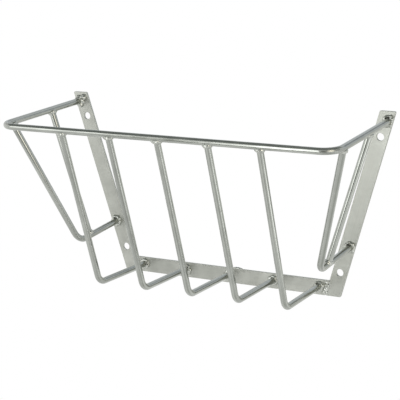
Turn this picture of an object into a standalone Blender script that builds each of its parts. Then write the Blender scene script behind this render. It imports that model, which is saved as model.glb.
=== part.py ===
"""Wall hay rack, welded from round bar and flat bar. Metres, +Z up.

The origin is on the wall, at the middle of the cross bar's back face. The wall is the plane y = 0,
the rack stands out from it towards -Y, and +X is to the right of someone who faces it.
"""

import math

import bmesh
import bpy
from mathutils import Euler, Matrix, Vector

# Stock: 10 mm round bar under 0.1 mm of plating, and flat bar
ROD_DIAMETER = 0.0102
FLAT_WIDTH = 0.025
FLAT_THICKNESS = 0.004
FLAT_CORNER_RADIUS = 0.0025

# Overall sizes, over the outside of the bars
RACK_WIDTH = 0.580
RACK_DEPTH = 0.220
RACK_HEIGHT = 0.300

# Uprights: how far their tops stand in from the rack's sides and how far apart their bottoms are, over
# their outer edges, and the screw holes on their centre lines
UPRIGHT_TOP_INSET = 0.00075
UPRIGHT_BOTTOM_SPREAD = 0.395
HOLE_DIAMETER = 0.012
HOLE_FROM_END = 0.040

# Top rail
RAIL_BEND_RADIUS = 0.025
RAIL_END_DROP = 0.015
RAIL_END_MARGIN = 0.002
RAIL_FALL = 0.007

# Front bars: the bend's corner is measured from the wall and from the cross bar's centre line
FRONT_BAR_COUNT = 5
FRONT_END_BAY = 0.116
FRONT_BAR_REACH = 0.135
FRONT_BAR_BEND_RISE = 0.0035
FRONT_FOOT_RISE = 0.001
FRONT_FOOT_MARGIN = 0.003
FRONT_BEND_RADIUS = 0.020

# Side bars: the foot's height is measured from the uprights' bottom ends
SIDE_BAR_SETBACK = 0.004
SIDE_BAR_REACH = 0.117
SIDE_BEND_RADIUS = 0.022
SIDE_FOOT_HEIGHT = 0.083
SIDE_FOOT_OFFSET = 0.004
SIDE_LEG_FALL = 0.008

# Side stays
STAY_REACH = 0.082
STAY_SETBACK = 0.014

# Weld beads: a bead is a round run of metal along its joint, and these are its radii
BAR_BEAD_RADIUS = 0.0036
FOOT_BEAD_RADIUS = 0.0036
RAIL_BEAD_RADIUS = 0.0046
SEAM_BEAD_RADIUS = 0.0032
SEAM_BEAD_HEIGHT = 0.0010
BEAD_UNEVENNESS = 0.14
# Where two round bars run side by side: how much thinner the bead is, and how near to the other bar's
# centre line it comes, as a share of the bars' radius
BEAD_SIDE_THINNING = 0.4
BEAD_LEAST_REACH = 0.6
# The run of weld that stands over the cross bar's top edge, to the right of the middle bar's foot
EDGE_WELD_X = 0.0155
EDGE_WELD_LENGTH = 0.020
EDGE_WELD_HEIGHT = 0.0028

# Gap left between pieces that touch
CLEARANCE = 0.0003

# Fineness of the curved surfaces
ROD_SIDES = 20
BEND_STEP = math.radians(11)
CORNER_STEPS = 4
HOLE_SIDES = 24
BEAD_SIDES = 8
RING_POINTS = 16
SEAM_POINTS = 7
EDGE_WELD_SIDES = 16

ROD_RADIUS = ROD_DIAMETER / 2
FACE_Y = -FLAT_THICKNESS
BOTTOM_Z = -FLAT_WIDTH / 2
TOP_Z = BOTTOM_Z + RACK_HEIGHT
UPRIGHT_TOP_SPREAD = RACK_WIDTH - 2 * UPRIGHT_TOP_INSET
# How far a bar runs on into the piece that it is welded to, before its end is cut to fit
CUT_ALLOWANCE = FLAT_THICKNESS / 2
SIDES = (("left", -1), ("right", 1))


def clear_scene():
    for obj in list(bpy.data.objects):
        bpy.data.objects.remove(obj, do_unlink=True)


def new_collection(name):
    collection = bpy.data.collections.new(name)
    bpy.context.scene.collection.children.link(collection)
    return collection


def new_material(name, colour, roughness):
    material = bpy.data.materials.new(name)
    material.use_nodes = True
    shader = material.node_tree.nodes["Principled BSDF"]
    shader.inputs["Base Color"].default_value = (*colour, 1)
    shader.inputs["Metallic"].default_value = 0.8
    shader.inputs["Roughness"].default_value = roughness
    material.diffuse_color = (*colour, 1)
    return material


def add_mesh_object(name, mesh, collection, material=None):
    obj = bpy.data.objects.new(name, mesh)
    collection.objects.link(obj)
    if material:
        mesh.materials.clear()
        mesh.materials.append(material)
    return obj


def curve_to_mesh(name, curve):
    """The curve's surface as a mesh, with its caps welded on and its normals facing out."""
    guide = bpy.data.objects.new(name, curve)
    bpy.context.scene.collection.objects.link(guide)
    bpy.context.view_layer.update()
    graph = bpy.context.evaluated_depsgraph_get()
    mesh = bpy.data.meshes.new_from_object(guide.evaluated_get(graph))
    mesh.name = name
    bpy.data.objects.remove(guide, do_unlink=True)
    bpy.data.curves.remove(curve)
    shape = bmesh.new()
    shape.from_mesh(mesh)
    bmesh.ops.remove_doubles(shape, verts=shape.verts, dist=0.00001)
    bmesh.ops.recalc_face_normals(shape, faces=shape.faces)
    shape.to_mesh(mesh)
    shape.free()
    mesh.shade_smooth()
    mesh.set_sharp_from_angle(angle=math.radians(40))
    return mesh


def tube_mesh(name, points, radius, sides, point_radii=None, closed=False):
    """A round bar along the points. point_radii multiply its radius, and a closed one is a ring."""
    curve = bpy.data.curves.new(name, "CURVE")
    curve.dimensions = "3D"
    curve.bevel_depth = radius
    curve.bevel_resolution = (sides - 4) // 2
    curve.use_fill_caps = not closed
    spline = curve.splines.new("POLY")
    spline.points.add(len(points) - 1)
    spline.use_cyclic_u = closed
    for index, point in enumerate(points):
        spline.points[index].co = (*point, 1)
        if point_radii:
            spline.points[index].radius = point_radii[index]
    return curve_to_mesh(name, curve)


def bend_tangent(before, corner, after, radius):
    """How far from the corner a bend of this radius starts."""
    opening = (before - corner).angle(after - corner)
    return radius / math.tan(opening / 2)


def bent_path(start, corners, end, radius):
    """The centre line of a bar from start to end, with each corner rounded to the radius."""
    path = [start]
    ends = [start, *corners, end]
    for before, corner, after in zip(ends, ends[1:], ends[2:]):
        into = (before - corner).normalized()
        out = (after - corner).normalized()
        tangent = bend_tangent(before, corner, after, radius)
        first = corner + into * tangent
        centre = first + (out - into * into.dot(out)).normalized() * radius
        turn = math.pi - into.angle(out)
        steps = max(2, math.ceil(turn / BEND_STEP))
        axis = into.cross(out).normalized()
        for step in range(steps + 1):
            swing = Matrix.Rotation(-turn * step / steps, 3, axis)
            path.append(centre + swing @ (first - centre))
    path.append(end)
    return path


def cut_with(obj, *cutters):
    for cutter in cutters:
        modifier = obj.modifiers.new("Cut to " + cutter.name, "BOOLEAN")
        modifier.operation = "DIFFERENCE"
        modifier.solver = "EXACT"
        modifier.object = cutter


def as_cutter(obj):
    obj.hide_render = True
    obj.display_type = "WIRE"
    return obj


def edge_x(z):
    """Where an upright's outer edge is at this height, as a distance from the middle."""
    share = (z - BOTTOM_Z) / RACK_HEIGHT
    return (UPRIGHT_BOTTOM_SPREAD + (UPRIGHT_TOP_SPREAD - UPRIGHT_BOTTOM_SPREAD) * share) / 2


def flat_width_across():
    """An upright's width measured level, which its lean makes a little more than the flat's."""
    return FLAT_WIDTH * math.hypot(1, (edge_x(TOP_Z) - edge_x(BOTTOM_Z)) / RACK_HEIGHT)


def upright_middle_x(z):
    return edge_x(z) - flat_width_across() / 2


def joint_x(z):
    """Where an upright's inner edge is at this height."""
    return edge_x(z) - flat_width_across()


def rounded_outline(corners, radius):
    outline = []
    for before, corner, after in zip(corners[-1:] + corners[:-1], corners, corners[1:] + corners[:1]):
        into = (before - corner).normalized()
        out = (after - corner).normalized()
        opening = into.angle(out)
        first = corner + into * radius / math.tan(opening / 2)
        last = corner + out * radius / math.tan(opening / 2)
        centre = corner + (into + out).normalized() * radius / math.sin(opening / 2)
        for step in range(CORNER_STEPS + 1):
            towards = (first - centre).slerp(last - centre, step / CORNER_STEPS)
            outline.append(centre + towards * radius)
    return outline


def hole_outline(middle, radius):
    turns = [2 * math.pi * step / HOLE_SIDES for step in range(HOLE_SIDES)]
    return [middle + Vector((math.cos(turn), math.sin(turn))) * radius for turn in turns]


def flat_bar(name, outlines, collection, material):
    """A flat bar against the wall. The first outline is its edge, in x and z, and the rest are holes."""
    curve = bpy.data.curves.new(name, "CURVE")
    curve.dimensions = "2D"
    curve.fill_mode = "BOTH"
    curve.extrude = FLAT_THICKNESS / 2
    for outline in outlines:
        spline = curve.splines.new("POLY")
        spline.points.add(len(outline) - 1)
        spline.use_cyclic_u = True
        for index, point in enumerate(outline):
            spline.points[index].co = (point.x, point.y, 0, 1)
    obj = add_mesh_object(name, curve_to_mesh(name, curve), collection, material)
    obj.rotation_euler = (math.radians(90), 0, 0)
    obj.location = (0, -FLAT_THICKNESS / 2, 0)


def make_upright(name, side, collection, material):
    corners = [
        Vector((side * edge_x(BOTTOM_Z), BOTTOM_Z)),
        Vector((side * edge_x(TOP_Z), TOP_Z)),
        Vector((side * joint_x(TOP_Z), TOP_Z)),
        Vector((side * joint_x(BOTTOM_Z), BOTTOM_Z)),
    ]
    outlines = [rounded_outline(corners, FLAT_CORNER_RADIUS)]
    for z in (BOTTOM_Z + HOLE_FROM_END, TOP_Z - HOLE_FROM_END):
        middle = Vector((side * upright_middle_x(z), z))
        outlines.append(hole_outline(middle, HOLE_DIAMETER / 2))
    flat_bar(name, outlines, collection, material)


def make_cross_bar(collection, material):
    low = joint_x(BOTTOM_Z) - CLEARANCE
    high = joint_x(-BOTTOM_Z) - CLEARANCE
    outline = [Vector((-low, BOTTOM_Z)), Vector((low, BOTTOM_Z)), Vector((high, -BOTTOM_Z)), Vector((-high, -BOTTOM_Z))]
    flat_bar("cross_bar", [outline], collection, material)


def rail_corner(side):
    front = RACK_DEPTH - ROD_RADIUS
    return Vector((side * (RACK_WIDTH / 2 - ROD_RADIUS), -front, TOP_Z - RAIL_END_DROP - RAIL_FALL))


def rail_end(side):
    z = TOP_Z - RAIL_END_DROP
    return Vector((side * (edge_x(z) - RAIL_END_MARGIN - ROD_RADIUS), FACE_Y, z))


def rail_arm_point(side, y):
    """The point of the rail's arm at this y."""
    corner = rail_corner(side)
    end = rail_end(side)
    return corner.lerp(end, (y - corner.y) / (end.y - corner.y))


def past(point, before, distance):
    """A point this much further on than the end of a bar."""
    return point + (point - before).normalized() * distance


def rail_path():
    left, right = rail_corner(-1), rail_corner(1)
    start = past(rail_end(-1), left, CUT_ALLOWANCE)
    end = past(rail_end(1), right, CUT_ALLOWANCE)
    return bent_path(start, [left, right], end, RAIL_BEND_RADIUS)


def front_bar_ends(index):
    """The top, the bend's corner and the foot of a front bar, which lie in one upright plane."""
    place = 2 * index / (FRONT_BAR_COUNT - 1) - 1
    top = Vector((place * (rail_corner(1).x - FRONT_END_BAY), rail_corner(1).y, rail_corner(1).z))
    outer_foot = joint_x(FRONT_FOOT_RISE) - SEAM_BEAD_RADIUS - FRONT_FOOT_MARGIN - FOOT_BEAD_RADIUS - ROD_RADIUS
    foot = Vector((place * outer_foot, FACE_Y, FRONT_FOOT_RISE))
    share = (-FRONT_BAR_REACH - foot.y) / (top.y - foot.y)
    corner = foot.lerp(top, share)
    corner.z = FRONT_BAR_BEND_RISE
    return top, corner, foot


def side_bar_ends(side):
    """The top, the bend's corner and the foot of a side bar."""
    corner = rail_corner(side)
    tangent = bend_tangent(rail_corner(-side), corner, rail_end(side), RAIL_BEND_RADIUS)
    top = rail_arm_point(side, corner.y + tangent + SIDE_BAR_SETBACK)
    z = BOTTOM_Z + SIDE_FOOT_HEIGHT
    foot = Vector((side * (upright_middle_x(z) + SIDE_FOOT_OFFSET), FACE_Y, z))
    bend = Vector((foot.x, -SIDE_BAR_REACH, z - SIDE_LEG_FALL))
    return top, bend, foot


def stay_ends(side):
    """The top of a side stay, under the rail's arm, and its foot, on the side bar's leg."""
    side_top, bend, side_foot = side_bar_ends(side)
    tangent = bend_tangent(side_top, bend, side_foot, SIDE_BEND_RADIUS)
    foot = bend + (side_foot - bend).normalized() * (tangent + STAY_SETBACK)
    return rail_arm_point(side, -STAY_REACH), foot


def seam_round_bar(foot, direction, other_point, other_axis):
    """The line where a bar's surface meets another bar of the same size, as a ring of points.

    Where the two surfaces run side by side, the ring is held down to where metal would fill in.
    """
    direction = direction.normalized()
    other_axis = other_axis.normalized()
    along = (other_axis - direction * direction.dot(other_axis)).normalized()
    across = direction.cross(along)
    square = direction - other_axis * direction.dot(other_axis)
    ring = []
    for step in range(RING_POINTS):
        turn = 2 * math.pi * step / RING_POINTS
        offset = (along * math.cos(turn) + across * math.sin(turn)) * ROD_RADIUS
        start = foot + offset - other_point
        start -= other_axis * start.dot(other_axis)
        a, b, c = square.dot(square), start.dot(square), start.dot(start) - ROD_RADIUS**2
        reach = (-b + math.sqrt(max(0, b * b - a * c))) / a
        reach = max(reach, BEAD_LEAST_REACH * ROD_RADIUS)
        ring.append(foot + offset + direction * reach)
    return ring


def seam_on_face(foot, bead_radius):
    """The ring of a bead that fills the corner between a bar's end and the front face of a flat bar."""
    ring = []
    for step in range(RING_POINTS):
        turn = 2 * math.pi * step / RING_POINTS
        offset = Vector((math.cos(turn), 0, math.sin(turn))) * (ROD_RADIUS + bead_radius / 4)
        ring.append(Vector((foot.x, FACE_Y, foot.z)) + offset)
    return ring


def uneven(count, start, thinning):
    """Multipliers for a bead's radius, which swells and thins along its run."""
    values = []
    for step in range(count):
        turn = 2 * math.pi * step / count
        swell = math.sin(3 * turn + start) + 0.6 * math.sin(5 * turn + 2 * start)
        values.append((1 + BEAD_UNEVENNESS * swell) * (1 - thinning * math.sin(turn) ** 2))
    return values


def make_seam_bead(name, side, cutters, collection, material):
    """The low run of weld over the joint between the cross bar and an upright."""
    depth = SEAM_BEAD_RADIUS - SEAM_BEAD_HEIGHT
    points = []
    for step in range(SEAM_POINTS):
        share = step / (SEAM_POINTS - 1)
        z = BOTTOM_Z + SEAM_BEAD_RADIUS + (FLAT_WIDTH - 2 * SEAM_BEAD_RADIUS) * share
        points.append(Vector((side * joint_x(z), FACE_Y + depth, z)))
    mesh = tube_mesh(name, points, SEAM_BEAD_RADIUS, BEAD_SIDES)
    cut_with(add_mesh_object(name, mesh, collection, material), *cutters)


def make_edge_weld(name, cutter, collection, material):
    """The run of weld on the cross bar's top edge: half of a long, flattened ball."""
    size = Vector((EDGE_WELD_LENGTH, FLAT_THICKNESS, 2 * EDGE_WELD_HEIGHT))
    middle = Vector((EDGE_WELD_X, -FLAT_THICKNESS / 2, -BOTTOM_Z))
    mesh = bpy.data.meshes.new(name)
    shape = bmesh.new()
    bmesh.ops.create_uvsphere(
        shape,
        u_segments=EDGE_WELD_SIDES,
        v_segments=EDGE_WELD_SIDES // 2,
        radius=0.5,
        matrix=Matrix.LocRotScale(middle, None, size),
    )
    shape.to_mesh(mesh)
    shape.free()
    mesh.shade_smooth()
    cut_with(add_mesh_object(name, mesh, collection, material), cutter)


def make_block_cutter(name, middle, turn, size, collection):
    mesh = bpy.data.meshes.new(name)
    shape = bmesh.new()
    bmesh.ops.create_cube(shape, size=1, matrix=Matrix.LocRotScale(middle, turn, size))
    shape.to_mesh(mesh)
    shape.free()
    return as_cutter(add_mesh_object(name, mesh, collection))


def make_face_cutter(collection):
    """A block behind the flat bars' front faces, which trims what meets them."""
    size = Vector((2 * RACK_WIDTH, RACK_DEPTH, 2 * RACK_HEIGHT))
    middle = Vector((0, FACE_Y - CLEARANCE + RACK_DEPTH / 2, (TOP_Z + BOTTOM_Z) / 2))
    return make_block_cutter("flat_faces_cutter", middle, None, size, collection)


def make_cross_bar_cutter(collection):
    """A block as high as the cross bar, which trims what stands on the bar's top edge."""
    size = Vector((RACK_WIDTH, RACK_DEPTH, FLAT_WIDTH))
    return make_block_cutter("cross_bar_cutter", Vector((0, 0, CLEARANCE)), None, size, collection)


def make_edge_cutter(word, side, collection):
    """A block beside an upright's outer edge, which keeps the rail's weld on the upright's face."""
    lean = side * math.atan2(edge_x(TOP_Z) - edge_x(BOTTOM_Z), RACK_HEIGHT)
    turn = Euler((0, lean, 0))
    size = Vector((FLAT_WIDTH, RACK_DEPTH, 2 * RACK_HEIGHT))
    edge = Vector((side * edge_x(TOP_Z), 0, TOP_Z))
    middle = edge + turn.to_matrix() @ Vector((side * FLAT_WIDTH / 2, 0, 0))
    return make_block_cutter("upright_edge_cutter_" + word, middle, turn.to_quaternion(), size, collection)


class Rack:
    """Makes the bars first, each with a cutter of its own size plus the clearance, and then the beads."""

    def __init__(self):
        self.parts = new_collection("Hay rack")
        self.cutters = new_collection("Cutters")
        self.rod_steel = new_material("Satin zinc round bar", (0.42, 0.43, 0.41), 0.38)
        self.flat_steel = new_material("Satin zinc flat bar", (0.46, 0.47, 0.45), 0.42)
        self.weld_metal = new_material("Zinc plated weld", (0.36, 0.37, 0.36), 0.30)
        self.bead_count = 0

    def rod(self, name, path):
        """A round bar and its cutter."""
        mesh = tube_mesh(name, path, ROD_RADIUS, ROD_SIDES)
        bar = add_mesh_object(name, mesh, self.parts, self.rod_steel)
        cutter_name = name + "_cutter"
        cutter_mesh = tube_mesh(cutter_name, path, ROD_RADIUS + CLEARANCE, ROD_SIDES)
        cutter = as_cutter(add_mesh_object(cutter_name, cutter_mesh, self.cutters))
        return bar, cutter

    def bead(self, name, ring, radius, thinning, *cutters):
        """A run of weld round the end of a bar, trimmed to the pieces that it joins."""
        self.bead_count += 1
        radii = uneven(len(ring), self.bead_count, thinning)
        mesh = tube_mesh(name, ring, radius, BEAD_SIDES, radii, closed=True)
        bead = add_mesh_object(name, mesh, self.parts, self.weld_metal)
        cut_with(bead, *cutters)

    def bead_under_bar(self, name, ring, *cutters):
        self.bead(name, ring, BAR_BEAD_RADIUS, BEAD_SIDE_THINNING, *cutters)

    def bead_on_face(self, name, foot, radius, *cutters):
        self.bead(name, seam_on_face(foot, radius), radius, 0, *cutters)

    def build(self):
        faces = make_face_cutter(self.cutters)
        make_cross_bar(self.parts, self.flat_steel)
        cross_bar_cutter = make_cross_bar_cutter(self.cutters)
        make_edge_weld("weld_cross_bar_top", cross_bar_cutter, self.parts, self.weld_metal)
        rail, rail_cutter = self.rod("top_rail", rail_path())
        cut_with(rail, faces)
        for word, side in SIDES:
            make_upright("upright_" + word, side, self.parts, self.flat_steel)
            make_seam_bead("weld_cross_bar_" + word, side, [faces], self.parts, self.weld_metal)
            edge = make_edge_cutter(word, side, self.cutters)
            name = "weld_rail_end_" + word
            self.bead_on_face(name, rail_end(side), RAIL_BEAD_RADIUS, faces, rail_cutter, edge)
            self.build_side(word, side, faces, rail_cutter)
        for index in range(FRONT_BAR_COUNT):
            self.build_front_bar(index, faces, rail_cutter)

    def build_front_bar(self, index, faces, rail_cutter):
        number = str(index + 1)
        top, corner, foot = front_bar_ends(index)
        path = bent_path(top, [corner], past(foot, corner, CUT_ALLOWANCE), FRONT_BEND_RADIUS)
        bar, cutter = self.rod("front_bar_" + number, path)
        cut_with(bar, rail_cutter, faces)
        ring = seam_round_bar(top, corner - top, top, Vector((1, 0, 0)))
        self.bead_under_bar("weld_front_top_" + number, ring, rail_cutter, cutter)
        self.bead_on_face("weld_front_foot_" + number, foot, FOOT_BEAD_RADIUS, faces, cutter)

    def build_side(self, word, side, faces, rail_cutter):
        arm = rail_corner(side) - rail_end(side)
        top, corner, foot = side_bar_ends(side)
        path = bent_path(top, [corner], past(foot, corner, CUT_ALLOWANCE), SIDE_BEND_RADIUS)
        bar, bar_cutter = self.rod("side_bar_" + word, path)
        cut_with(bar, rail_cutter, faces)
        ring = seam_round_bar(top, corner - top, top, arm)
        self.bead_under_bar("weld_side_top_" + word, ring, rail_cutter, bar_cutter)
        self.bead_on_face("weld_side_foot_" + word, foot, FOOT_BEAD_RADIUS, faces, bar_cutter)

        stay_top, stay_foot = stay_ends(side)
        stay, stay_cutter = self.rod("side_stay_" + word, [stay_top, stay_foot])
        cut_with(stay, rail_cutter, bar_cutter)
        ring = seam_round_bar(stay_top, stay_foot - stay_top, stay_top, arm)
        self.bead_under_bar("weld_stay_top_" + word, ring, rail_cutter, stay_cutter)
        ring = seam_round_bar(stay_foot, stay_top - stay_foot, stay_foot, foot - corner)
        self.bead_under_bar("weld_stay_foot_" + word, ring, bar_cutter, stay_cutter)


clear_scene()
Rack().build()
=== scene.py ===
"""Hay rack of welded bar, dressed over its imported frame. Metres, +Z up, +X along it, the wall is y = 0."""
import math
import random

import bmesh
import bpy
from mathutils import Matrix, Vector


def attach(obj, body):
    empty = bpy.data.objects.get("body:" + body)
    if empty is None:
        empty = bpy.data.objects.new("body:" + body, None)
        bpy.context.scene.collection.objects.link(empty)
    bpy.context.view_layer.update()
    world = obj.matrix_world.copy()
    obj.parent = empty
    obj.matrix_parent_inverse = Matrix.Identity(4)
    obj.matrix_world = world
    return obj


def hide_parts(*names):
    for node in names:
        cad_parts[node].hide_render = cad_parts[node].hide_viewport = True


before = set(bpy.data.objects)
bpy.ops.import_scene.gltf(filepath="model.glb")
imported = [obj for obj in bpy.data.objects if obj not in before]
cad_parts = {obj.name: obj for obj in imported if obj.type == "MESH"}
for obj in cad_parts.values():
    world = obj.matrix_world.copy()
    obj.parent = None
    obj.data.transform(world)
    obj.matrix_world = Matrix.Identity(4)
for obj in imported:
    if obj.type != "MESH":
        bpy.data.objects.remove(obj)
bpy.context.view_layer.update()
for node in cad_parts.values():
    node.select_set(False)


# Uprights
# Two lengths of 25 by 4 mm flat bar, cut level at both ends with the corners rounded off on a belt, and
# drilled for two wall screws each. They lean out by 17 degrees, and the rail and the side bars end on them.
BOTTOM_Z = -0.0125
TOP_Z = 0.2875
MIDDLE_Z = (BOTTOM_Z + TOP_Z) / 2
HALF_WIDTH_AT_BOTTOM = 0.1975
HALF_WIDTH_AT_TOP = 0.28925
LEAN = math.atan2(HALF_WIDTH_AT_TOP - HALF_WIDTH_AT_BOTTOM, TOP_Z - BOTTOM_Z)
FLAT_WIDTH = 0.025
FLAT_THICKNESS = 0.004
FACE_Y = -FLAT_THICKNESS
UPRIGHT_BLANK = 0.340
CORNER_RADIUS = 0.0025
EDGE_RADIUS = 0.0005
HOLE_RADIUS = 0.006
HOLE_HEIGHTS = (0.0275, 0.2475)
SAME_PLACE = 0.00001
SHARP_ANGLE = math.radians(40)
SIDES = (("left", -1), ("right", 1))


def edge_x(z):
    """An upright's outer edge at this height, from the rack's middle."""
    return HALF_WIDTH_AT_BOTTOM + math.tan(LEAN) * (z - BOTTOM_Z)


def middle_x(z):
    """An upright's middle line at this height."""
    return edge_x(z) - FLAT_WIDTH / math.cos(LEAN) / 2


def joint_x(z):
    """An upright's inner edge, where the cross bar meets it."""
    return edge_x(z) - FLAT_WIDTH / math.cos(LEAN)


def only(piece):
    """Selects this piece alone."""
    bpy.ops.object.select_all(action="DESELECT")
    piece.select_set(True)
    bpy.context.view_layer.objects.active = piece


def new_piece(name):
    """Names the primitive that was just added and puts its place into its mesh."""
    piece = bpy.context.object
    piece.name = piece.data.name = name
    bpy.ops.object.transform_apply()
    return piece


def pick_edges(piece, wanted):
    """Selects the edges that are wanted, in edit mode."""
    bpy.ops.mesh.select_mode(type="EDGE")
    bpy.ops.mesh.select_all(action="DESELECT")
    shape = bmesh.from_edit_mesh(piece.data)
    for edge in shape.edges:
        edge.select_set(wanted(edge))
    bmesh.update_edit_mesh(piece.data)


def saw_off(point, normal):
    """Saws the piece that is being edited along a plane and drops what lies on the normal's side."""
    bpy.ops.mesh.select_all(action="SELECT")
    bpy.ops.mesh.bisect(plane_co=point, plane_no=normal, use_fill=True, clear_outer=True)


def apply_modifier(piece, kind, **settings):
    """Adds a modifier with its settings and applies it."""
    only(piece)
    modifier = piece.modifiers.new(kind.title(), kind)
    for name, value in settings.items():
        setattr(modifier, name, value)
    bpy.ops.object.modifier_apply(modifier=modifier.name)


def soften_edges(piece):
    """Rounds the rims of a flat bar's two faces a little, as rolling and deburring leave them."""
    bpy.ops.object.mode_set(mode="EDIT")
    pick_edges(piece, lambda edge: edge.calc_face_angle(0) > 1
               and abs(edge.verts[0].co.y - edge.verts[1].co.y) < SAME_PLACE)
    bpy.ops.mesh.bevel(offset=EDGE_RADIUS, segments=3, affect="EDGES")
    bpy.ops.object.mode_set(mode="OBJECT")
    bpy.ops.object.shade_smooth_by_angle(angle=SHARP_ANGLE)
    apply_modifier(piece, "WEIGHTED_NORMAL", keep_sharp=True)


def grain_layer(piece):
    """The piece's UV map, for a pattern that follows its length."""
    if not piece.data.uv_layers:
        piece.data.uv_layers.new(name="Grain")
    piece.data.uv_layers[0].name = "Grain"
    return piece.data.uv_layers[0].data


def lay_grain_on_flat(piece, direction):
    """Unwraps a flat bar in metres, with U along it and V across it and round its edges."""
    across = direction.cross(Vector((0, 1, 0)))
    for loop, place in zip(piece.data.loops, grain_layer(piece)):
        point = piece.data.vertices[loop.vertex_index].co
        place.uv = (point.dot(direction), point.dot(across) + point.y)


def colour(code):
    """An sRGB hex value as linear RGBA."""
    channels = [int(code[start:start + 2], 16) / 255 for start in (1, 3, 5)]
    return (*(c / 12.92 if c <= 0.04045 else ((c + 0.055) / 1.055) ** 2.4 for c in channels), 1)


def every(millimetres):
    """The scale of a pattern whose features lie this far apart."""
    return 1000 / millimetres


def add(tree, kind, settings={}, values={}, links={}):
    """Adds a node with its settings, its sockets' values and the links that come into it."""
    made = tree.nodes.new("ShaderNode" + kind)
    for name, value in settings.items():
        setattr(made, name, value)
    for name, value in values.items():
        made.inputs[name].default_value = value
    for name, source in links.items():
        tree.links.new(source, made.inputs[name])
    return made


def new_finish(name):
    """A new metal finish: its material, its nodes and its shader."""
    material = bpy.data.materials.new(name)
    material.use_nodes = True
    shader = material.node_tree.nodes["Principled BSDF"]
    shader.inputs["Metallic"].default_value = 1
    return material, material.node_tree, shader


# Satin zinc on rolled flat bar: electroplated over a rolled surface. A dull, slightly greenish silver with
# faint lines along the bar, soft clouds some 20 mm across and a fine matt grain. The lines and the grain are
# drawn coarser than the real ones, so that they show.
zinc_on_flat, tree, shader = new_finish("Satin zinc on rolled flat bar")
place = add(tree, "TexCoord")
grain = add(tree, "UVMap", {"uv_map": "Grain"})
stretched = add(tree, "Mapping", {}, {"Scale": (every(71.4), every(1.1111), 1)},
                {"Vector": grain.outputs["UV"]})
lines = add(tree, "TexNoise", {}, {"Scale": 1, "Detail": 3}, {"Vector": stretched.outputs[0]})
clouds = add(tree, "TexNoise", {}, {"Scale": every(20.83), "Detail": 4}, {"Vector": place.outputs["Object"]})
grit = add(tree, "TexNoise", {}, {"Scale": every(0.3846), "Detail": 2}, {"Vector": place.outputs["Object"]})
mottle = add(tree, "MapRange", {}, {"From Min": 0.3, "From Max": 0.7}, {"Value": clouds.outputs[0]})
tone = add(tree, "Mix", {"data_type": "RGBA"}, {6: colour("#B0B2AB"), 7: colour("#BFC1BA")},
           {0: mottle.outputs[0]})
streak = add(tree, "MapRange", {}, {"From Min": 0.35, "From Max": 0.65, "To Min": 0.94, "To Max": 1.0},
             {"Value": lines.outputs[0]})
streaked = add(tree, "Mix", {"data_type": "RGBA", "blend_type": "MULTIPLY"}, {0: 1.0},
               {6: tone.outputs[2], 7: streak.outputs[0]})
tree.links.new(streaked.outputs[2], shader.inputs["Base Color"])
sheen = add(tree, "MapRange", {}, {"From Min": 0.3, "From Max": 0.7, "To Min": 0.34, "To Max": 0.44},
            {"Value": clouds.outputs[0]})
tree.links.new(sheen.outputs[0], shader.inputs["Roughness"])
line_relief = add(tree, "Bump", {}, {"Strength": 0.5, "Distance": 0.00004}, {"Height": lines.outputs[0]})
grit_relief = add(tree, "Bump", {}, {"Strength": 0.4, "Distance": 0.00003},
                  {"Height": grit.outputs[0], "Normal": line_relief.outputs[0]})
tree.links.new(grit_relief.outputs[0], shader.inputs["Normal"])


def fix_to_rack(piece, node, finish):
    """Gives a finished piece its finish and stands it on the rack in place of its CAD node."""
    piece.data.materials.clear()
    piece.data.materials.append(finish)
    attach(piece, "root")
    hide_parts(node)


def is_corner(edge, acute):
    """Whether an edge runs through the flat at one of its four corners, and at an acute or a blunt one."""
    first, last = edge.verts[0].co, edge.verts[1].co
    if abs(first.y - last.y) < FLAT_THICKNESS / 2:
        return False
    if abs(abs(first.z - MIDDLE_Z) - (TOP_Z - MIDDLE_Z)) > SAME_PLACE:
        return False
    return ((first.z > MIDDLE_Z) == (abs(first.x) > middle_x(first.z))) == acute


for word, side in SIDES:
    bpy.ops.mesh.primitive_cube_add(
        size=1,
        location=(side * middle_x(MIDDLE_Z), FACE_Y / 2, MIDDLE_Z),
        rotation=(0, side * LEAN, 0),
        scale=(FLAT_WIDTH, FLAT_THICKNESS, UPRIGHT_BLANK),
    )
    upright = new_piece("flat_upright_" + word)
    bpy.ops.object.mode_set(mode="EDIT")
    saw_off((0, 0, TOP_Z), (0, 0, 1))
    saw_off((0, 0, BOTTOM_Z), (0, 0, -1))
    for acute, opening in ((True, math.pi / 2 - LEAN), (False, math.pi / 2 + LEAN)):
        pick_edges(upright, lambda edge: is_corner(edge, acute))
        bpy.ops.mesh.bevel(offset=CORNER_RADIUS / math.tan(opening / 2), segments=6, affect="EDGES")
    bpy.ops.object.mode_set(mode="OBJECT")
    for z in HOLE_HEIGHTS:
        bpy.ops.mesh.primitive_cylinder_add(
            vertices=48, radius=HOLE_RADIUS, depth=5 * FLAT_THICKNESS, location=(side * middle_x(z), 0, z),
            rotation=(math.pi / 2, 0, 0))
        drill = new_piece("drill")
        apply_modifier(upright, "BOOLEAN", object=drill, solver="EXACT")
        bpy.data.objects.remove(drill)
    soften_edges(upright)
    lay_grain_on_flat(upright, Vector((side * math.sin(LEAN), 0, math.cos(LEAN))))
    fix_to_rack(upright, "upright_" + word, zinc_on_flat)


# Cross bar
# One length of the same flat bar, sawn at both ends to the uprights' lean and butted between them at the
# bottom, so that the three flats lie in one plane against the wall.
CROSS_BAR_BLANK = 0.370
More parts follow.
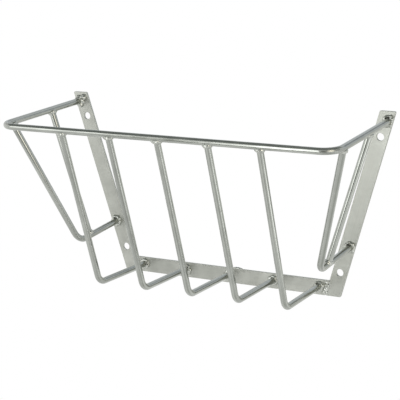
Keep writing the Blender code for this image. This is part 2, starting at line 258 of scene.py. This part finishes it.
# The cross bar stops this far short of the uprights, and the beads on the flats go this far into them
GAP = 0.0003
bpy.ops.mesh.primitive_cube_add(
    size=1, location=(0, FACE_Y / 2, 0), scale=(CROSS_BAR_BLANK, FLAT_THICKNESS, FLAT_WIDTH))
cross_bar = new_piece("flat_cross_bar")
bpy.ops.object.mode_set(mode="EDIT")
for side in (-1, 1):
    saw_off((side * (joint_x(0) - GAP), 0, 0), (side * math.cos(LEAN), 0, -math.sin(LEAN)))
bpy.ops.object.mode_set(mode="OBJECT")
soften_edges(cross_bar)
lay_grain_on_flat(cross_bar, Vector((1, 0, 0)))
fix_to_rack(cross_bar, "cross_bar", zinc_on_flat)


# Top rail
# One drawn 10 mm round bar, bent cold over a former into a U. Its arms run back from the front corners and
# rise a little to the uprights, and both ends are cut square and welded to their faces.
ROD_RADIUS = 0.0051
ROD_SIDES = 40
BEND_STEPS = 16
RAIL_CORNER = Vector((0.2849, -0.2149, 0.2655))
RAIL_END = Vector((0.27756, FACE_Y, 0.2725))
RAIL_BEND_RADIUS = 0.025
# A bar's end goes this far into the flat that it is welded to, and stops this far short of a bar's middle
END_ALLOWANCE = 0.0005


def mirrored(point, side):
    """The same point on this side of the rack, -1 for the left and 1 for the right."""
    return Vector((side * point.x, point.y, point.z))


def lay_grain_on_bar(bar, line, strained, level):
    """Unwraps a round bar in metres, with U along its line and V round it. Level is square to its bends, and
    strained says for each point of the line how much it was stretched there, which roughens the surface."""
    travelled = [0]
    for before, here in zip(line, line[1:]):
        travelled.append(travelled[-1] + (here - before).length)
    turns = {}
    strain = bar.data.attributes.new("Strain", "FLOAT", "POINT")
    for vertex in bar.data.vertices:
        nearest = min(range(len(line)), key=lambda index: (line[index] - vertex.co).length_squared)
        ahead = line[min(nearest + 1, len(line) - 1)] - line[max(nearest - 1, 0)]
        offset = vertex.co - line[nearest]
        turn = math.atan2(offset.dot(level.cross(ahead).normalized()), offset.dot(level))
        turns[vertex.index] = (travelled[nearest], turn)
        strain.data[vertex.index].value = strained[nearest]
    layer = grain_layer(bar)
    for face in bar.data.polygons:
        most = max(turns[index][1] for index in face.vertices)
        for loop, index in zip(face.loop_indices, face.vertices):
            along, turn = turns[index]
            if most - turn > math.pi:
                turn += 2 * math.pi
            layer[loop].uv = (along, turn * ROD_RADIUS)


def bent_bar(name, points, radius=0):
    """A round bar along these points: a disc pushed out straight and spun round at each bend."""
    first = points[1] - points[0]
    bpy.ops.mesh.primitive_circle_add(
        vertices=ROD_SIDES, radius=ROD_RADIUS, fill_type="NGON", location=points[0],
        rotation=first.to_track_quat("Z", "Y").to_euler())
    bar = new_piece(name)
    bpy.ops.object.mode_set(mode="EDIT")
    bpy.ops.mesh.select_all(action="SELECT")
    here = points[0]
    line = [here]
    strained = [0]
    level = first.orthogonal().normalized()
    for before, corner, after in zip(points, points[1:], points[2:]):
        into = (corner - before).normalized()
        out = (after - corner).normalized()
        turn = into.angle(out)
        tangent = radius * math.tan(turn / 2)
        start = corner - into * tangent
        level = into.cross(out).normalized()
        centre = start + level.cross(into) * radius
        bpy.ops.mesh.extrude_region_move(TRANSFORM_OT_translate={"value": start - here})
        bpy.ops.mesh.spin(steps=BEND_STEPS, angle=-turn, center=centre, axis=level)
        for step in range(BEND_STEPS + 1):
            share = step / BEND_STEPS
            line.append(centre + Matrix.Rotation(turn * share, 3, level) @ (start - centre))
            strained.append(min(1, 2 * math.sin(math.pi * share)))
        here = corner + out * tangent
    bpy.ops.mesh.extrude_region_move(TRANSFORM_OT_translate={"value": points[-1] - here})
    line.append(points[-1])
    strained.append(0)
    bpy.ops.mesh.select_all(action="SELECT")
    bpy.ops.mesh.remove_doubles(threshold=1e-6)
    bpy.ops.mesh.normals_make_consistent(inside=False)
    bpy.ops.object.mode_set(mode="OBJECT")
    bpy.ops.object.shade_smooth_by_angle(angle=SHARP_ANGLE)
    lay_grain_on_bar(bar, line, strained, level)
    return bar


# Satin zinc on drawn round bar: the same plating on a smoother surface. It gives clear, long reflections,
# with paler and darker bands along the bar, drawing lines and grit, and a speckle where the bar is bent. The
# lines and the grit are drawn coarser than the real ones, and the bands differ from bar to bar.
zinc_on_bar, tree, shader = new_finish("Satin zinc on drawn round bar")
place = add(tree, "TexCoord")
grain = add(tree, "UVMap", {"uv_map": "Grain"})
stretched = add(tree, "Mapping", {}, {"Scale": (every(100), every(0.714), 1)},
                {"Vector": grain.outputs["UV"]})
lines = add(tree, "TexNoise", {}, {"Scale": 1, "Detail": 3}, {"Vector": stretched.outputs[0]})
clouds = add(tree, "TexNoise", {}, {"Scale": every(16.67), "Detail": 4}, {"Vector": place.outputs["Object"]})
grit = add(tree, "TexNoise", {}, {"Scale": every(0.5556), "Detail": 2}, {"Vector": place.outputs["Object"]})
mottle = add(tree, "MapRange", {}, {"From Min": 0.3, "From Max": 0.7}, {"Value": clouds.outputs[0]})
tone = add(tree, "Mix", {"data_type": "RGBA"}, {6: colour("#A6A9A3"), 7: colour("#B3B6B0")},
           {0: mottle.outputs[0]})
streak = add(tree, "MapRange", {}, {"From Min": 0.35, "From Max": 0.65, "To Min": 0.93, "To Max": 1.0},
             {"Value": lines.outputs[0]})
drawn = add(tree, "Mapping", {}, {"Scale": (every(250), every(2.94), 1)}, {"Vector": grain.outputs["UV"]})
apart = add(tree, "Mapping", {}, {"Scale": (every(83.3), 0, 0)}, {"Vector": place.outputs["Object"]})
own = add(tree, "VectorMath", {}, {}, {0: drawn.outputs[0], 1: apart.outputs[0]})
bands = add(tree, "TexNoise", {}, {"Scale": 1, "Detail": 1}, {"Vector": own.outputs[0]})
band = add(tree, "MapRange", {}, {"From Min": 0.35, "From Max": 0.65, "To Min": 0.84, "To Max": 1.16},
           {"Value": bands.outputs[0]})
worn = add(tree, "Math", {"operation": "MULTIPLY"}, {}, {0: streak.outputs[0], 1: band.outputs[0]})
streaked = add(tree, "Mix", {"data_type": "RGBA", "blend_type": "MULTIPLY"}, {0: 1.0},
               {6: tone.outputs[2], 7: worn.outputs[0]})
tree.links.new(streaked.outputs[2], shader.inputs["Base Color"])
sheen = add(tree, "MapRange", {}, {"From Min": 0.3, "From Max": 0.7, "To Min": 0.13, "To Max": 0.21},
            {"Value": clouds.outputs[0]})
strain = add(tree, "Attribute", {"attribute_name": "Strain"})
duller = add(tree, "Math", {"operation": "MULTIPLY_ADD"}, {1: 0.12},
             {0: strain.outputs["Fac"], 2: sheen.outputs[0]})
tree.links.new(duller.outputs[0], shader.inputs["Roughness"])
line_relief = add(tree, "Bump", {}, {"Strength": 0.2, "Distance": 0.000005}, {"Height": lines.outputs[0]})
grit_relief = add(tree, "Bump", {}, {"Strength": 0.1, "Distance": 0.000005},
                  {"Height": grit.outputs[0], "Normal": line_relief.outputs[0]})
peel = add(tree, "TexNoise", {}, {"Scale": every(1.5385), "Detail": 2}, {"Vector": place.outputs["Object"]})
peel_relief = add(tree, "Bump", {}, {"Distance": 0.00006},
                  {"Strength": strain.outputs["Fac"], "Height": peel.outputs[0],
                   "Normal": grit_relief.outputs[0]})
tree.links.new(peel_relief.outputs[0], shader.inputs["Normal"])

rail_tip = RAIL_END + Vector((0, END_ALLOWANCE, 0))
rail = bent_bar("bar_top_rail", [mirrored(rail_tip, -1), mirrored(RAIL_CORNER, -1), RAIL_CORNER, rail_tip],
                RAIL_BEND_RADIUS)
fix_to_rack(rail, "top_rail", zinc_on_bar)


# Front bars
# Five lengths of the same round bar, each bent once: from under the rail's front down and forward of the
# wall, then back along the bottom to the cross bar. Their tops are cut to sit under the rail.
FRONT_BEND_RADIUS = 0.020
FRONT_PLACES = (-1, -0.5, 0, 0.5, 1)
# The points of the bar at the right end
FRONT_TOP = Vector((0.1689, RAIL_CORNER.y, RAIL_CORNER.z))
FRONT_CORNER = Vector((0.16575, -0.135, 0.0035))
FRONT_FOOT = Vector((0.160586, FACE_Y, 0.001))


def front_bar_points(share):
    """The top, the bend's corner and the foot of a front bar, by its place from -1 at the left to 1."""
    return [Vector((share * point.x, point.y, point.z)) for point in (FRONT_TOP, FRONT_CORNER, FRONT_FOOT)]


def short_of(point, towards, distance):
    """A point this far from a bar's end towards another point, or past the end where it is negative."""
    return point + (towards - point).normalized() * distance


def once_bent_bar(name, top, corner, foot, radius):
    """A bar from the underside of the rail, round one bend, to the face of a flat."""
    points = [short_of(top, corner, END_ALLOWANCE), corner, short_of(foot, corner, -END_ALLOWANCE)]
    return bent_bar(name, points, radius)


for number, share in enumerate(FRONT_PLACES, 1):
    front_bar = once_bent_bar("bar_front_%d" % number, *front_bar_points(share), FRONT_BEND_RADIUS)
    fix_to_rack(front_bar, "front_bar_%d" % number, zinc_on_bar)


# Side bars
# One at each end, bent like the front bars: from under the rail's arm, just behind its corner, down and
# inwards, then back to the upright. It closes the basket's end.
SIDE_BEND_RADIUS = 0.022
SIDE_TOP_Y = -0.1850
SIDE_FOOT = Vector((0.2138, FACE_Y, 0.0705))
SIDE_CORNER = Vector((0.2138, -0.117, 0.0625))


def arm_point(y):
    """The point of the right arm's middle line at this y."""
    return RAIL_CORNER.lerp(RAIL_END, (y - RAIL_CORNER.y) / (RAIL_END.y - RAIL_CORNER.y))


SIDE_TOP = arm_point(SIDE_TOP_Y)
for word, side in SIDES:
    points = [mirrored(point, side) for point in (SIDE_TOP, SIDE_CORNER, SIDE_FOOT)]
    side_bar = once_bent_bar("bar_side_" + word, *points, SIDE_BEND_RADIUS)
    fix_to_rack(side_bar, "side_bar_" + word, zinc_on_bar)


# Side stays
# A straight length of round bar at each end, from under the middle of the rail's arm down to the side bar's
# lower leg, just behind its bend.
STAY_TOP_Y = -0.082
STAY_BEHIND_BEND = 0.014
STAY_TOP = arm_point(STAY_TOP_Y)
side_turn = (SIDE_CORNER - SIDE_TOP).angle(SIDE_FOOT - SIDE_CORNER)
bend_end = SIDE_BEND_RADIUS * math.tan(side_turn / 2)
STAY_FOOT = short_of(SIDE_CORNER, SIDE_FOOT, bend_end + STAY_BEHIND_BEND)
for word, side in SIDES:
    top, foot = mirrored(STAY_TOP, side), mirrored(STAY_FOOT, side)
    points = [short_of(top, foot, END_ALLOWANCE), short_of(foot, top, END_ALLOWANCE)]
    stay = bent_bar("bar_stay_" + word, points)
    fix_to_rack(stay, "side_stay_" + word, zinc_on_bar)


# Welds under the bars
# Each round bar that ends on another has a bead of electrode metal run round it, in short overlapping
# drops that cooled into a lumpy fillet. It follows the line where the two round surfaces meet.
BEAD_RADIUS = 0.0031
SEAM_DROPS = 22
# The smaller drops beside the seam: how far from it, and their size as a share of the bead's
TAPER = ((0.0018, 0.72), (0.0031, 0.44))
# Drops lie on the other bar only at the seam's two ends, where the cosine of the turn is above this
SEAM_END = 0.8
SIDE_THINNING = 0.4
LEAST_REACH = 0.6 * ROD_RADIUS
# The mesh size at which drops are melted together, and how high a fully rough bead ripples
VOXEL = 0.0004
RIPPLE_HEIGHT = 0.0028
PIT_REACH = 0.0016
PIT_WIDTH = 0.0018
PIT_DEPTH = 0.0016
# How far each front bar's bead spreads on the rail, where 1 is as far as it does on the bar
FRONT_FLARES = (1.1, 1.0, 1.2, 0.7, 0.6)
ripple = bpy.data.textures.new("Weld ripple", "CLOUDS")
ripple.noise_scale = 0.003


def sink_pits(run, pits, depth):
    """Pushes a bead in towards the wall at these places, as where slag was left or it missed the bar."""
    only(run)
    bpy.ops.object.mode_set(mode="EDIT")
    bpy.ops.mesh.select_mode(type="VERT")
    bpy.ops.mesh.select_all(action="DESELECT")
    shape = bmesh.from_edit_mesh(run.data)
    for place in pits:
        min(shape.verts, key=lambda vertex: (vertex.co - place).length_squared).select_set(True)
    bmesh.update_edit_mesh(run.data)
    bpy.ops.transform.translate(value=(0, depth, 0), use_proportional_edit=True,
                                proportional_size=PIT_WIDTH, proportional_edit_falloff="SMOOTH")
    bpy.ops.object.mode_set(mode="OBJECT")


def cut_off(run, point, normal):
    """Cuts away what lies on the normal's side of a plane."""
    bpy.ops.mesh.primitive_cube_add(size=1, location=Vector(point) + Vector(normal).normalized() / 2,
                                    rotation=Vector(normal).to_track_quat("Z", "Y").to_euler())
    block = new_piece("block")
    apply_modifier(run, "BOOLEAN", object=block, solver="EXACT")
    bpy.data.objects.remove(block)


def melt(run):
    """Melts drops and cut ends into one skin."""
    apply_modifier(run, "REMESH", mode="VOXEL", voxel_size=VOXEL, use_smooth_shade=True)


def bead(name, drops, seed, rough=0.09, edges=(), cuts=(), pits=(), depth=PIT_DEPTH):
    """Weld metal laid as overlapping drops, a place and a radius each, and melted into one lumpy bead. It
    rounds over at the edges and is cut clean at the cuts. Both are planes, a point and a normal each."""
    chance = random.Random(seed)
    for number, (place, radius) in enumerate(drops):
        wander = Vector([chance.uniform(-1, 1) for axis in range(3)]) * radius * rough
        bpy.ops.mesh.primitive_ico_sphere_add(
            subdivisions=3, radius=radius * chance.uniform(1 - rough, 1 + rough / 2), location=place + wander)
        # The first drop is the piece, and in edit mode the others are added to its mesh
        if number == 0:
            run = new_piece(name)
            bpy.ops.object.mode_set(mode="EDIT")
    bpy.ops.object.mode_set(mode="OBJECT")
    melt(run)
    for point, normal in edges:
        cut_off(run, point, normal)
    if edges:
        melt(run)
    apply_modifier(run, "SMOOTH", factor=0.5, iterations=10)
    apply_modifier(run, "DISPLACE", texture=ripple, texture_coords="LOCAL",
                   strength=rough * RIPPLE_HEIGHT, mid_level=0.5)
    for point, normal in cuts:
        cut_off(run, point, normal)
    sink_pits(run, pits, depth)
    # Marks each vertex near a pit for painted shade, which the weld's material darkens
    painted_pit_shade = run.data.attributes.new("PaintedPitShade", "FLOAT", "POINT")
    for vertex, mark in zip(run.data.vertices, painted_pit_shade.data):
        mark.value = max([0] + [1 - (vertex.co - place).length / PIT_REACH for place in pits])
    return run


def seam_round_bar(foot, direction, other_axis, flare=1):
    """Drops along the line where a bar's surface meets that of the bar it ends on, and smaller ones with
    which the bead tapers off along both bars. The flare says how far it spreads on the other bar."""
    direction, other_axis = direction.normalized(), other_axis.normalized()
    along = (other_axis - direction * direction.dot(other_axis)).normalized()
    across = direction.cross(along)
    square = direction - other_axis * direction.dot(other_axis)
    seam = []
    for step in range(SEAM_DROPS):
        turn = 2 * math.pi * step / SEAM_DROPS
        offset = (along * math.cos(turn) + across * math.sin(turn)) * ROD_RADIUS
        # A line along the bar's surface meets the other bar's where a * reach**2 + 2 * b * reach + c is 0
        start = offset - other_axis * offset.dot(other_axis)
        a, b, c = square.dot(square), start.dot(square), start.dot(start) - ROD_RADIUS**2
        reach = max((-b + math.sqrt(max(0, b * b - a * c))) / a, LEAST_REACH)
        on_seam = foot + offset + direction * reach
        seam.append((on_seam, BEAD_RADIUS * (1 - SIDE_THINNING * math.sin(turn) ** 2)))
        for distance, size in TAPER:
            seam.append((on_seam + direction * distance, BEAD_RADIUS * size))
            if abs(math.cos(turn)) > SEAM_END:
                aside = math.copysign(distance * flare, math.cos(turn))
                seam.append((on_seam + other_axis * aside, BEAD_RADIUS * size))
    return seam


# Satin zinc on weld metal: the same plating over bare beads, and shinier than the flats. Its crests are
# bright, the hollows between the drops are painted darker as shade, and its pits are painted dark as shade.
zinc_on_weld, tree, shader = new_finish("Satin zinc on weld metal")
place = add(tree, "TexCoord")
clouds = add(tree, "TexNoise", {}, {"Scale": every(3.846), "Detail": 3}, {"Vector": place.outputs["Object"]})
grit = add(tree, "TexNoise", {}, {"Scale": every(0.6667), "Detail": 3}, {"Vector": place.outputs["Object"]})
form = add(tree, "NewGeometry")
tone = add(tree, "Mix", {"data_type": "RGBA"}, {6: colour("#A8ABA4"), 7: colour("#CDCFC9")},
           {0: clouds.outputs[0]})
# Painted shade: where the pointiness is low, in the hollows between the drops, the colour is darkened towards
# #6C6D68
painted_hollow_shade = add(tree, "MapRange", {}, {"From Min": 0.40, "From Max": 0.48},
              {"Value": form.outputs["Pointiness"]})
darker = add(tree, "Mix", {"data_type": "RGBA"}, {6: colour("#6C6D68")},
             {0: painted_hollow_shade.outputs[0], 7: tone.outputs[2]})
# Painted shade in the pits and the cross bar's slit: the marked points are darkened towards #4A4A45
painted_pit_shade = add(tree, "Attribute", {"attribute_name": "PaintedPitShade"})
painted_pit_shade_mask = add(tree, "MapRange", {}, {"From Min": 0.2, "From Max": 0.5}, {"Value": painted_pit_shade.outputs["Fac"]})
pitted = add(tree, "Mix", {"data_type": "RGBA"}, {7: colour("#4A4A45")},
             {0: painted_pit_shade_mask.outputs[0], 6: darker.outputs[2]})
tree.links.new(pitted.outputs[2], shader.inputs["Base Color"])
sheen = add(tree, "MapRange", {}, {"From Min": 0.3, "From Max": 0.7, "To Min": 0.16, "To Max": 0.30},
            {"Value": clouds.outputs[0]})
tree.links.new(sheen.outputs[0], shader.inputs["Roughness"])
relief = add(tree, "Bump", {}, {"Strength": 0.35, "Distance": 0.00004}, {"Height": grit.outputs[0]})
tree.links.new(relief.outputs[0], shader.inputs["Normal"])


def fix_weld(run, node):
    """Stands a bead on the rack in place of its CAD node."""
    fix_to_rack(run, node, zinc_on_weld)


for number, (share, flare) in enumerate(zip(FRONT_PLACES, FRONT_FLARES), 1):
    top, corner = front_bar_points(share)[:2]
    seam = seam_round_bar(top, corner - top, Vector((1, 0, 0)), flare)
    fix_weld(bead("bead_front_top_%d" % number, seam, number), "weld_front_top_%d" % number)
for number, (word, side) in enumerate(SIDES, 6):
    arm = mirrored(RAIL_CORNER, side) - mirrored(RAIL_END, side)
    top, corner, foot = (mirrored(point, side) for point in (SIDE_TOP, SIDE_CORNER, SIDE_FOOT))
    seam = seam_round_bar(top, corner - top, arm)
    fix_weld(bead("bead_side_top_" + word, seam, number), "weld_side_top_" + word)
    stay_top, stay_foot = mirrored(STAY_TOP, side), mirrored(STAY_FOOT, side)
    seam = seam_round_bar(stay_top, stay_foot - stay_top, arm)
    fix_weld(bead("bead_stay_top_" + word, seam, number + 2), "weld_stay_top_" + word)
    seam = seam_round_bar(stay_foot, stay_top - stay_foot, foot - corner)
    fix_weld(bead("bead_stay_foot_" + word, seam, number + 4), "weld_stay_foot_" + word)


# Welds on the flats
# Where a bar ends on the face of a flat, the bead runs round it in coarser drops. The rail's two ends carry
# the load, so theirs are the thickest, and they reach the upright's edge and stop there.
FRONT_FOOT_BEAD = 0.0035
SIDE_FOOT_BEAD = 0.0038
RAIL_END_BEAD = 0.0045
FACE_DROPS = 16
# Where each bead didn't reach its bar, in degrees from the right
FRONT_UNDERCUTS = ((5, 45), (45, 85), (60, 100), (15, 50), (65, 125))
SIDE_UNDERCUT = (70, 130)
END_UNDERCUTS = ((70, 125), (70, 135))
UNDERCUT_STEP = 8
UNDERCUT_REACH = ROD_RADIUS + 0.0010
UNDERCUT_BEFORE_FACE = 0.003
BEHIND_FACE = ((0, FACE_Y + GAP, 0), (0, 1, 0))


def beside(foot, degrees, reach, before=0):
    """A point beside a bar's end on a flat, at an angle from the right, and this far before the face."""
    turn = math.radians(degrees)
    return Vector((foot.x + math.cos(turn) * reach, FACE_Y - before, foot.z + math.sin(turn) * reach))


def bead_on_face(name, foot, radius, seed, undercut, more_drops=(), edges=()):
    """A bead round a bar's end on a flat, undercut between two angles, where it didn't reach the bar."""
    drops = [(beside(foot, step * 360 / FACE_DROPS, ROD_RADIUS + radius / 4), radius)
             for step in range(FACE_DROPS)]
    pits = [beside(foot, degrees, UNDERCUT_REACH, UNDERCUT_BEFORE_FACE)
            for degrees in range(*undercut, UNDERCUT_STEP)]
    return bead(name, [*drops, *more_drops], seed, rough=0.22, edges=edges, cuts=[BEHIND_FACE], pits=pits)


for number, (share, undercut) in enumerate(zip(FRONT_PLACES, FRONT_UNDERCUTS), 1):
    foot = front_bar_points(share)[2]
    run = bead_on_face("bead_front_foot_%d" % number, foot, FRONT_FOOT_BEAD, number + 20, undercut)
    fix_weld(run, "weld_front_foot_%d" % number)
for number, (word, side) in enumerate(SIDES, 26):
    foot = mirrored(SIDE_FOOT, side)
    run = bead_on_face("bead_side_foot_" + word, foot, SIDE_FOOT_BEAD, number, SIDE_UNDERCUT)
    fix_weld(run, "weld_side_foot_" + word)

# The left end of the rail has a longer bead than the right one
longer = [(Vector((x, FACE_Y, z)), RAIL_END_BEAD)
          for x, z in ((-0.2712, 0.2785), (-0.2700, 0.2812), (-0.2688, 0.2785), (-0.2676, 0.2800))]
for number, (word, side), undercut, more in zip((28, 29), SIDES, END_UNDERCUTS, (longer, ())):
    end = mirrored(RAIL_END, side)
    rim = ((side * edge_x(end.z), 0, end.z), (side * math.cos(LEAN), 0, -math.sin(LEAN)))
    run = bead_on_face("bead_rail_end_" + word, end, RAIL_END_BEAD, number, undercut, more, [rim])
    fix_weld(run, "weld_rail_end_" + word)


# Welds of the cross bar
# A low run down the joint between the cross bar and each upright, and a short run that stands over the
# cross bar's top edge, to the right of the middle bar.
RUN_STEPS = 10
RUN_SPACING = 0.0018
RUN_BOTTOM_Z = -0.0086
# Three rows of large drops that lie mostly inside the flats, so that only their low crowns stand proud
RUN_ROWS = (-0.0036, -0.0012, 0.0012)
RUN_DROP = 0.0045
RUN_SINK = 0.0034
SLIT_HEIGHTS = (0.0056, 0.0068, 0.0080, 0.0092)
TOP_RUN_START_X = 0.0075
TOP_RUN_LEAST_DROP = 0.0016
TOP_RUN_SWELL = 0.0011
WALL_GAP = 0.0002
for number, (word, side) in enumerate(SIDES, 31):
    drops = []
    for step in range(RUN_STEPS):
        z = RUN_BOTTOM_Z + RUN_SPACING * step
        drops += [(Vector((side * (joint_x(z) + aside), FACE_Y + RUN_SINK, z)), RUN_DROP)
                  for aside in RUN_ROWS]
    slit = [Vector((side * (joint_x(z) + 0.001), FACE_Y - 0.0010, z)) for z in SLIT_HEIGHTS]
    run = bead("bead_cross_bar_" + word, drops, number, rough=0.06,
               cuts=[BEHIND_FACE], pits=slit, depth=0.0008)
    fix_weld(run, "weld_cross_bar_" + word)
drops = []
for step in range(RUN_STEPS):
    place = Vector((TOP_RUN_START_X + RUN_SPACING * step, FACE_Y / 2, FLAT_WIDTH / 2))
    swell = TOP_RUN_SWELL * math.sin(math.pi * step / (RUN_STEPS - 1))
    drops.append((place, TOP_RUN_LEAST_DROP + swell))
run = bead("bead_cross_bar_top", drops, 33, rough=0.1,
           cuts=[((0, -WALL_GAP, 0), (0, 1, 0)), ((0, 0, FLAT_WIDTH / 2 - GAP), (0, 0, -1))])
fix_weld(run, "weld_cross_bar_top")


# Studio
# A pale floor a metre below, as under a rack on a wall, soft lamps at the front, the left front and the
# right, and grey cards and mats round the rack, which give its bars the dark lines that a studio's dark side
# gives them.
FLOOR_Z = -1.0
MAT_Z = FLOOR_Z + 0.01
RACK_MIDDLE = Vector((0, -0.11, 0.14))
LAMP_DISTANCE = 2


def seen_directly(tree):
    """A node that is 1 for rays from the camera and for those that metal or glass sends on."""
    rays = add(tree, "LightPath")
    seen = add(tree, "Math", {"operation": "ADD"}, {},
               {0: rays.outputs["Is Camera Ray"], 1: rays.outputs["Is Glossy Ray"]})
    return add(tree, "Math", {"operation": "ADD", "use_clamp": True}, {},
               {0: seen.outputs[0], 1: rays.outputs["Is Transmission Ray"]})


bpy.ops.mesh.primitive_plane_add(size=6, location=(0, -1.6, FLOOR_Z))
floor = bpy.context.object
floor.name = "Floor"
pale, tree, shader = new_finish("Pale studio floor")
shader.inputs["Metallic"].default_value = 0
shader.inputs["Base Color"].default_value = colour("#E8E8E5")
shader.inputs["Roughness"].default_value = 0.8
glow = add(tree, "Emission")
share_seen = add(tree, "Math", {"operation": "MULTIPLY"}, {1: 0.92}, {0: seen_directly(tree).outputs[0]})
mixed = add(tree, "MixShader", {}, {}, {0: share_seen.outputs[0], 1: shader.outputs[0], 2: glow.outputs[0]})
tree.links.new(mixed.outputs[0], tree.nodes["Material Output"].inputs["Surface"])
floor.data.materials.append(pale)


def studio_card(name, place, size, facing, code):
    """A card that only the rack's metal sees."""
    bpy.ops.mesh.primitive_plane_add(
        size=1, location=place, rotation=Vector(facing).to_track_quat("Z", "Y").to_euler())
    card = bpy.context.object
    card.name = name
    card.scale = (*size, 1)
    card.visible_camera = card.visible_diffuse = card.visible_shadow = False
    paper, tree = new_finish(name)[:2]
    paper_glow = add(tree, "Emission", {}, {"Color": colour(code)})
    tree.links.new(paper_glow.outputs[0], tree.nodes["Material Output"].inputs["Surface"])
    card.data.materials.append(paper)


studio_card("Upper back card", (0, 1.7, 1.20), (5.0, 1.4), (0, -1, 0), "#E0E4E9")
studio_card("Darker back card", (0.80, 1.66, 1.10), (0.84, 0.6), (0, -1, 0), "#B0B4BA")
studio_card("Middle back card", (0, 1.7, 0.25), (5.0, 0.5), (0, -1, 0), "#E2E4E4")
studio_card("Lower back card", (0, 1.7, -0.5), (5.0, 1.0), (0, -1, 0), "#EEEEEA")
studio_card("Ceiling card", (0, -0.35, 1.30), (3.4, 2.3), (0, 0, -1), "#8C908E")
studio_card("Card beside the front lamp", (0.23, -2.05, 0.15), (0.47, 1.8), (0, 1, 0), "#B8B9B5")
studio_card("Camera card", (0.95, -2.05, 0.15), (0.97, 1.8), (0, 1, 0), "#7A7B78")
studio_card("Right card", (2.2, -0.2, 0.85), (1.3, 0.8), (-1, 0, 0), "#9FA09C")
studio_card("Card between the lamps", (-1.02, -1.9, 0.05), (0.40, 2.1), (0, 1, 0), "#D0D1CC")
studio_card("Low card", (-0.80, -1.86, -0.75), (1.0, 0.48), (0, 1, 0), "#6C6D68")
studio_card("Mat on the floor", (0.66, -1.27, MAT_Z), (0.62, 0.5), (0, 0, 1), "#D0D1CD")
studio_card("Mat under the right end", (0.62, -0.42, MAT_Z), (0.7, 0.85), (0, 0, 1), "#DCDDDA")


def soft_lamp(name, azimuth, elevation, size, radiance, code):
    """A soft lamp that faces the rack, its azimuth counted from the front towards the right."""
    turn, rise = math.radians(azimuth), math.radians(elevation)
    outwards = Vector((math.sin(turn) * math.cos(rise), -math.cos(turn) * math.cos(rise), math.sin(rise)))
    bpy.ops.object.light_add(type="AREA", location=RACK_MIDDLE + outwards * LAMP_DISTANCE)
    lamp = bpy.context.object
    lamp.name = name
    lamp.rotation_euler = outwards.to_track_quat("Z", "Y").to_euler()
    lamp.data.shape = "RECTANGLE"
    lamp.data.size, lamp.data.size_y = size
    lamp.data.energy = radiance * math.pi * size[0] * size[1]
    lamp.data.color = colour(code)[:3]
    lamp.visible_camera = False


soft_lamp("Lamp at the front", -14.5, 1.5, (0.62, 1.9), 1.95, "#FFFFFF")
soft_lamp("Lamp at the left front", -43, 13, (0.6, 1.1), 1.15, "#FFFFFF")
soft_lamp("Lamp at the right", 56, 12, (0.85, 1.4), 1.9, "#FFF3DE")
soft_lamp("Low lamp at the right", 90, -26.5, (0.62, 0.30), 1.45, "#FFFFFF")

world = bpy.data.worlds.new("Studio")
bpy.context.scene.world = world
world.use_nodes = True
background = world.node_tree.nodes["Background"]
background.inputs["Color"].default_value = (1, 1, 1, 1)
level = add(world.node_tree, "MapRange", {}, {"To Min": 0.6, "To Max": 1.0},
            {"Value": seen_directly(world.node_tree).outputs[0]})
world.node_tree.links.new(level.outputs[0], background.inputs["Strength"])
bpy.context.scene.view_settings.view_transform = "Standard"

bpy.ops.object.camera_add(location=(1.0486959, -1.9239244, 0.6479099))
camera = bpy.context.object
yaw, pitch, roll = (math.radians(angle) for angle in (29.7857, -13.38583, -1.68185))
level_right = Vector((math.cos(yaw), math.sin(yaw), 0))
ahead = Vector((-math.sin(yaw) * math.cos(pitch), math.cos(yaw) * math.cos(pitch), math.sin(pitch)))
level_up = level_right.cross(ahead)
right = level_right * math.cos(roll) + level_up * math.sin(roll)
up = level_up * math.cos(roll) - level_right * math.sin(roll)
camera.rotation_euler = Matrix((right, up, -ahead)).transposed().to_euler()
camera.data.sensor_width = 36
camera.data.lens = 125.70
bpy.context.scene.camera = camera
